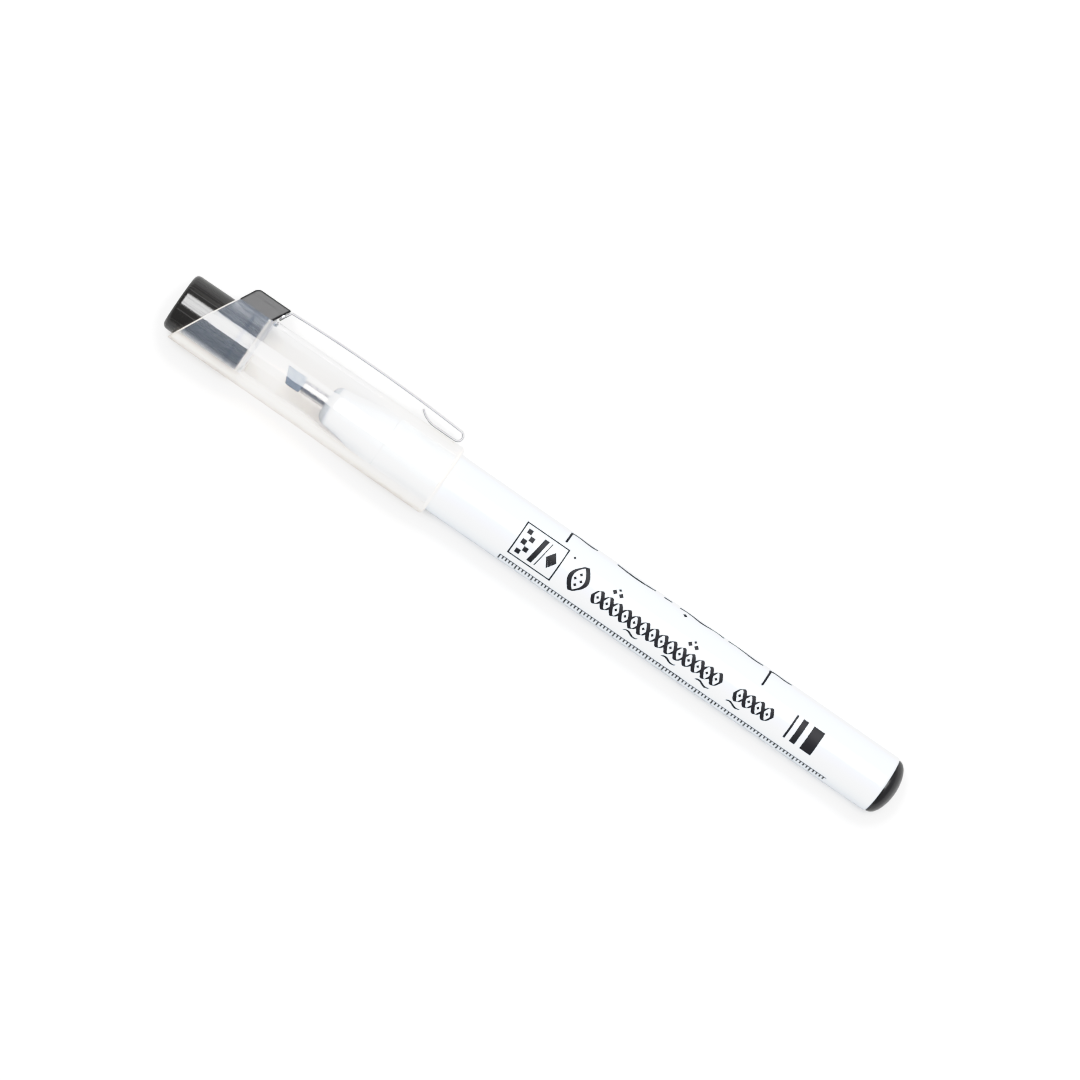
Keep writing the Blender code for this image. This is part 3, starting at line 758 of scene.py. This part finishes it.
def make_clip():
    """The pocket clip: a strip drawn along its line, widened, thickened and eased at its edges. Its narrow
    sides and its corners have finishes of their own, painted darker for the dim reflections they show."""
    piece = new_piece("clip_strip")
    draw([(x, y, -CLIP_WIDTH / 2) for x, y in clip_line()])
    bpy.ops.mesh.select_all(action="SELECT")
    bpy.ops.mesh.extrude_edges_move(TRANSFORM_OT_translate={"value": (0, 0, CLIP_WIDTH)})
    leave_editing(piece)
    apply_modifier(piece, "SOLIDIFY", thickness=CLIP_THICKNESS, offset=0.0, use_even_offset=True)
    steel = bright_steel()
    finish_with(piece, steel)
    # The narrow sides get steel painted darker for their dim reflection.
    piece.data.materials.append(steel_side_painted_dim())
    piece.data.materials.append(steel_corner_painted_dark())
    bpy.ops.object.mode_set(mode="EDIT")
    bpy.ops.mesh.select_mode(type="FACE")
    bpy.ops.mesh.select_all(action="DESELECT")
    bpy.ops.object.mode_set(mode="OBJECT")
    for face in piece.data.polygons:
        face.select = abs(face.normal.z) > 0.7
    bpy.ops.object.mode_set(mode="EDIT")
    piece.active_material_index = 1
    bpy.ops.object.material_slot_assign()
    bpy.ops.mesh.select_mode(type="VERT")
    bpy.ops.object.mode_set(mode="OBJECT")
    # The rounded corners get the material that paints their dark reflection.
    round_edges(piece, CLIP_EDGE, 3, 50, material=2)
    middle, half = tab_height(), CLIP_THICKNESS / 2
    left, right = face_x(middle) - TAB_DEPTH, face_x(middle) + 0.3 * MM
    low, high = middle - half, middle + half
    tab = prism("clip_tab", [(left, low), (right, low), (right, high), (left, high)], TAB_WIDTH)
    finish_with(tab, steel)
    for part in (piece, tab):
        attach(part, "clip")
    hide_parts("pocket_clip")
    return piece


# ---------------------------------------------------------------------------- printing


def on_barrel(x, across):
    """A point on the barrel: millimetres along it, and round it from the top towards the clip side."""
    radius = barrel_radius(x * MM)
    turn = across * MM / radius
    return (x * MM, radius * math.sin(turn), radius * math.cos(turn))


def pen_stroke(path, nib):
    """A flat ribbon on the barrel: a path of (along, across) in millimetres swept by a broad nib."""
    bpy.ops.mesh.select_all(action="DESELECT")
    draw([on_barrel(x, across) for x, across in path])
    turn = path[len(path) // 2][1] * MM / barrel_high.z
    sweep = (nib[0] * MM, nib[1] * MM * math.cos(turn), -nib[1] * MM * math.sin(turn))
    bpy.ops.mesh.select_linked()
    bpy.ops.mesh.extrude_edges_move(TRANSFORM_OT_translate={"value": sweep})


def lay_on_barrel(piece, barrel, cuts=2):
    """Cuts the strokes fine, lays them on the barrel as a thin film of ink and finishes them."""
    clearance, film = 0.012 * MM, 0.02 * MM
    bpy.ops.mesh.select_all(action="SELECT")
    bpy.ops.mesh.subdivide(number_cuts=cuts)
    bpy.ops.object.mode_set(mode="OBJECT")
    apply_modifier(piece, "SHRINKWRAP", target=barrel, wrap_method="NEAREST_SURFACEPOINT",
                   wrap_mode="ABOVE_SURFACE", offset=clearance)
    apply_modifier(piece, "SOLIDIFY", thickness=film, offset=1.0)
    bpy.ops.object.mode_set(mode="EDIT")
    leave_editing(piece)
    finish_with(piece, INK)
    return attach(piece, "barrel")


def line_between(start, end, pieces=6):
    """Evenly spaced points from start to end."""
    return [
        (start[0] + (end[0] - start[0]) * i / pieces, start[1] + (end[1] - start[1]) * i / pieces)
        for i in range(pieces + 1)
    ]


def wave(start, end, swell, turns=1.0, pieces=12):
    """A path from start to end that swings to either side like a pen flourish."""
    run, rise = end[0] - start[0], end[1] - start[1]
    length = math.hypot(run, rise)
    path = []
    for i in range(pieces + 1):
        share = i / pieces
        swing = swell * math.sin(math.tau * turns * share)
        path.append((start[0] + run * share - rise / length * swing,
                     start[1] + rise * share + run / length * swing))
    return path


def lozenge(x, across, size=0.5):
    """A square dot, as a broad nib leaves it when it is held on the slant."""
    start = (x - size, across)
    pen_stroke(line_between(start, (x, across + size), 2), (size, -size))


def print_frame(barrel):
    """A thin square frame round a nib-width ladder, a thick and thin stroke pair and a lozenge."""
    piece = new_piece("print_frame")
    left, right, low, high, line = 66.3, 74.65, -3.76, 2.70, 0.32
    for across in (low, high - line):
        pen_stroke(line_between((left, across), (right, across)), (0, line))
    for x in (left, right - line):
        pen_stroke(line_between((x, low), (x, high), 12), (line, 0))
    foot, step, steps = -2.88, 0.94, 5
    top = foot + step * steps
    for i in range(steps):
        x = 67.15 + step * (i % 2)
        pen_stroke(line_between((x, foot + step * i), (x, foot + step * (i + 1)), 2), (step, 0))
    for x, width in ((69.55, 0.95), (70.95, 0.25)):
        pen_stroke(line_between((x, foot), (x + 0.7, top), 8), (width, 0))
    pen_stroke(line_between((71.9, -0.53), (72.95, -2.2), 4), (1.05, 1.67))
    lozenge(75.9, 2.0, 0.3)
    return lay_on_barrel(piece, barrel)


def print_border(barrel):
    """An ornamental border written with a broad nib: a leaf, plaited bands, lozenges and swashes."""
    piece = new_piece("print_border")
    nib = (0.60, 0.34)
    # The opening leaf: four lozenges between two bowed strokes that meet
    for swell in (1.45, -1.45):
        pen_stroke(wave((77.75, -3.1), (78.05, 1.75), swell, 0.5, 16), (0.80, 0.30))
    for x, across in ((78.3, -1.6), (78.3, 0.3), (77.75, -0.65), (78.85, -0.65)):
        lozenge(x, across, 0.36)
    # The plaited bands, with a lozenge in every loop
    pitch, middle, swell = 3.56, -1.38, 1.28
    for first, loops in ((81.3, 14), (109.1, 4)):
        last = first + pitch / 2 * loops
        for side in (swell, -swell):
            pen_stroke(wave((first, middle), (last, middle), side, loops / 2, 9 * loops), nib)
        for i in range(loops):
            lozenge(first + pitch * (i + 0.5) / 2 + 0.3, middle + 0.17, 0.34)
    # Lozenges over the band and swashes under it
    for x in (84.3, 85.5, 99.0, 100.2):
        lozenge(x, 1.15, 0.52)
    for x in (84.9, 99.6):
        lozenge(x, 1.85, 0.34)
    for x in (89.6, 97.0, 103.6, 109.6):
        pen_stroke(wave((x - 0.9, -3.45), (x + 1.9, -3.5), 0.25), (0.2, 0.38))
    return lay_on_barrel(piece, barrel, 1)


def print_gauge(barrel):
    """Three upright bars of growing width, for the widths that the nib can write."""
    piece = new_piece("print_gauge")
    foot, top = -2.88, 1.64
    for x, width in ((119.7, 0.45), (120.95, 1.1), (123.0, 2.2)):
        pen_stroke(line_between((x, foot), (x, top), 10), (width, 0))
    return lay_on_barrel(piece, barrel)


def print_ruler(barrel):
    """A fine ruler along the lower side, with every fifth tick longer."""
    piece = new_piece("print_ruler")
    start, top, step, group, groups = 65.6, -5.15, 0.64, 5, 20
    for i in range(group):
        length = 1.55 if i == 0 else 1.0
        x = start + step * i
        pen_stroke(line_between((x, top - length), (x, top), 4), (0.26, 0))
    bpy.ops.object.mode_set(mode="OBJECT")
    apply_modifier(piece, "ARRAY", count=groups, use_relative_offset=False, use_constant_offset=True,
                   constant_offset_displace=(group * step * MM, 0, 0))
    bpy.ops.object.mode_set(mode="EDIT")
    base, end = -5.2, start + group * groups * step
    pen_stroke(line_between((start, base), (end, base), 40), (0, 0.2))
    return lay_on_barrel(piece, barrel, 1)


def print_cartouche(barrel):
    """A fine ornamental line on the clip side, hung between two brackets."""
    piece = new_piece("print_cartouche")
    line = (0.14, 0.80)
    for x, low, high in ((73.1, 3.62, 6.75), (112.1, 2.43, 6.35)):
        pen_stroke(line_between((x, low), (x + 0.12, high), 10), (0.46, 0.1))
        lozenge(x + 0.2, low, 0.3)
    pen_stroke(wave((73.2, 6.2), (78.4, 6.3), 0.2), line)
    pen_stroke(wave((82.2, 6.3), (89.8, 6.3), -0.5, 0.5, 16), line)
    pen_stroke(line_between((91.4, 6.1), (93.0, 6.3), 3), line)
    pen_stroke(wave((94.5, 6.2), (103.2, 6.3), 0.25, 1.5, 20), line)
    lozenge(95.9, 5.26, 0.5)
    pen_stroke(wave((104.0, 6.3), (110.9, 6.2), 0.2, 1.0, 16), line)
    pen_stroke(wave((112.1, 5.9), (116.6, 6.4), 0.2), line)
    return lay_on_barrel(piece, barrel, 1)


def finish_inner_pieces():
    """Gives the ink core and its film, which stay as they are, their own finishes."""
    for name, material in (("ink_core", inked_fibre()), ("core_film", clear_film())):
        finish_with(frame["nodes"][name], material)


# ---------------------------------------------------------------------------- stage, light, camera


def mirrored_rays(tree):
    """1 for rays that have met a glossy surface outside the clear cap, which see a dimmer room than the
    soft fill."""
    path = node(tree, "ShaderNodeLightPath")
    met = math_node(tree, "MINIMUM", path.outputs["Glossy Depth"], 1.0)
    inside = math_node(tree, "MINIMUM", path.outputs["Transmission Depth"], 1.0)
    return math_node(tree, "MULTIPLY", met, math_node(tree, "SUBTRACT", 1.0, inside))


def make_stage():
    """A plain white table. The pen rests on the cap's mouth and on the rear rim of the barrel."""
    drop = sleeve_high.z - barrel_radius(barrel_high.x)
    run = barrel_high.x - sleeve_high.x
    bpy.ops.object.select_all(action="DESELECT")
    bpy.ops.mesh.primitive_grid_add(x_subdivisions=8, y_subdivisions=8, size=6.0)
    table = bpy.context.object
    table.name = "table"
    tilt = Matrix.Rotation(-math.atan2(drop, run), 4, "Y")
    rest = Vector((sleeve_high.x - 0.4 * MM, 0, -sleeve_high.z))
    table.data.transform(Matrix.Translation(rest) @ tilt)
    white = finish("white_table", (0.93, 0.93, 0.93), (0.92, 0.92, 0.92), 0.6,
                   flow=0.2, grain=0.2, scratches=0.0, dust=0.0, relief=0.002)
    tree = white.node_tree
    shader = tree.nodes["Principled BSDF"]
    dimmed = mixed(tree, mirrored_rays(tree), linked_from(white, "Base Color"), (0.33, 0.33, 0.33, 1.0))
    tree.links.new(dimmed, shader.inputs["Base Color"])
    finish_with(table, white)


def make_light():
    """A wide soft light over the pen's clip side, and a room that is bright low down and dim above."""
    height, brightness, pen_middle = 1.2, 14.5, 70 * MM
    near, far = (height * math.tan(math.radians(angle)) for angle in (-7, 37))
    left, right = (height * math.tan(math.radians(angle)) for angle in (-26, 16))
    middle = (pen_middle + (left + right) / 2, (near + far) / 2, height)
    bpy.ops.object.light_add(type="AREA", location=middle)
    light = bpy.context.object
    light.name = "softbox"
    light.data.shape = "RECTANGLE"
    light.data.size, light.data.size_y = right - left, far - near
    light.data.energy = brightness * math.pi * light.data.size * light.data.size_y
    world = bpy.data.worlds.new("studio_room")
    bpy.context.scene.world = world
    world.use_nodes = True
    tree = world.node_tree
    direction = node(tree, "ShaderNodeTexCoord").outputs["Generated"]
    split = node(tree, "ShaderNodeSeparateXYZ", {"Vector": direction})
    level = ramp(tree, split.outputs["Z"], 0.02, 0.40, 0.60, 0.20, interpolation_type="SMOOTHSTEP")
    side = ramp(tree, split.outputs["Y"], -1.0, 1.0, 0.7, 1.3)
    strength = math_node(tree, "MULTIPLY", level, side)
    seen = math_node(tree, "SUBTRACT", 1.0, math_node(tree, "MULTIPLY", mirrored_rays(tree), 0.5))
    strength = math_node(tree, "MULTIPLY", strength, seen)
    tree.links.new(strength, tree.nodes["Background"].inputs["Strength"])
    tree.nodes["Background"].inputs["Color"].default_value = (1.0, 1.0, 1.0, 1.0)


def soften_whites(view):
    """A plain view with a soft shoulder, so that white plastic keeps its shading beside a white table."""
    view.view_transform = "Standard"
    view.use_curve_mapping = True
    curves = view.curve_mapping
    brightest = 2.0
    curves.white_level = (brightest, brightest, brightest)
    shoulder = curves.curves[3].points
    for light, shown in ((0.5, 0.50), (0.8, 0.76), (1.0, 0.86), (1.25, 0.91), (1.75, 0.945)):
        shoulder.new(light / brightest, shown)
    for point in shoulder:
        point.handle_type = "VECTOR"
    curves.update()


def make_camera():
    """A long lens nearly a metre above the pen, turned so that the pen runs down to the right."""
    bpy.ops.object.camera_add()
    camera = bpy.context.object
    camera.name = "camera"
    target = Vector((69.8 * MM, 1.14 * MM, 0.0))
    place = Vector((34.3 * MM, 1.14 * MM, 0.986))
    back = (place - target).normalized()
    turn = math.radians(34.65)
    up = Vector((-math.sin(turn), math.cos(turn), 0.0))
    right = up.cross(back).normalized()
    up = back.cross(right)
    camera.matrix_world = Matrix.Translation(place) @ Matrix((right, up, back)).transposed().to_4x4()
    camera.data.lens = 203.8
    camera.data.sensor_width = 36.0
    bpy.context.scene.camera = camera
    soften_whites(bpy.context.scene.view_settings)


make_camera()
make_light()
make_stage()
INK = printing_ink()
barrel_tube = make_barrel()
for make in (print_frame, print_border, print_gauge, print_ruler, print_cartouche):
    make(barrel_tube)
for make in (make_nose, make_ferrule, make_nib, make_tail, make_sleeve, make_plug,
             make_block, make_clip):
    make()
finish_inner_pieces()
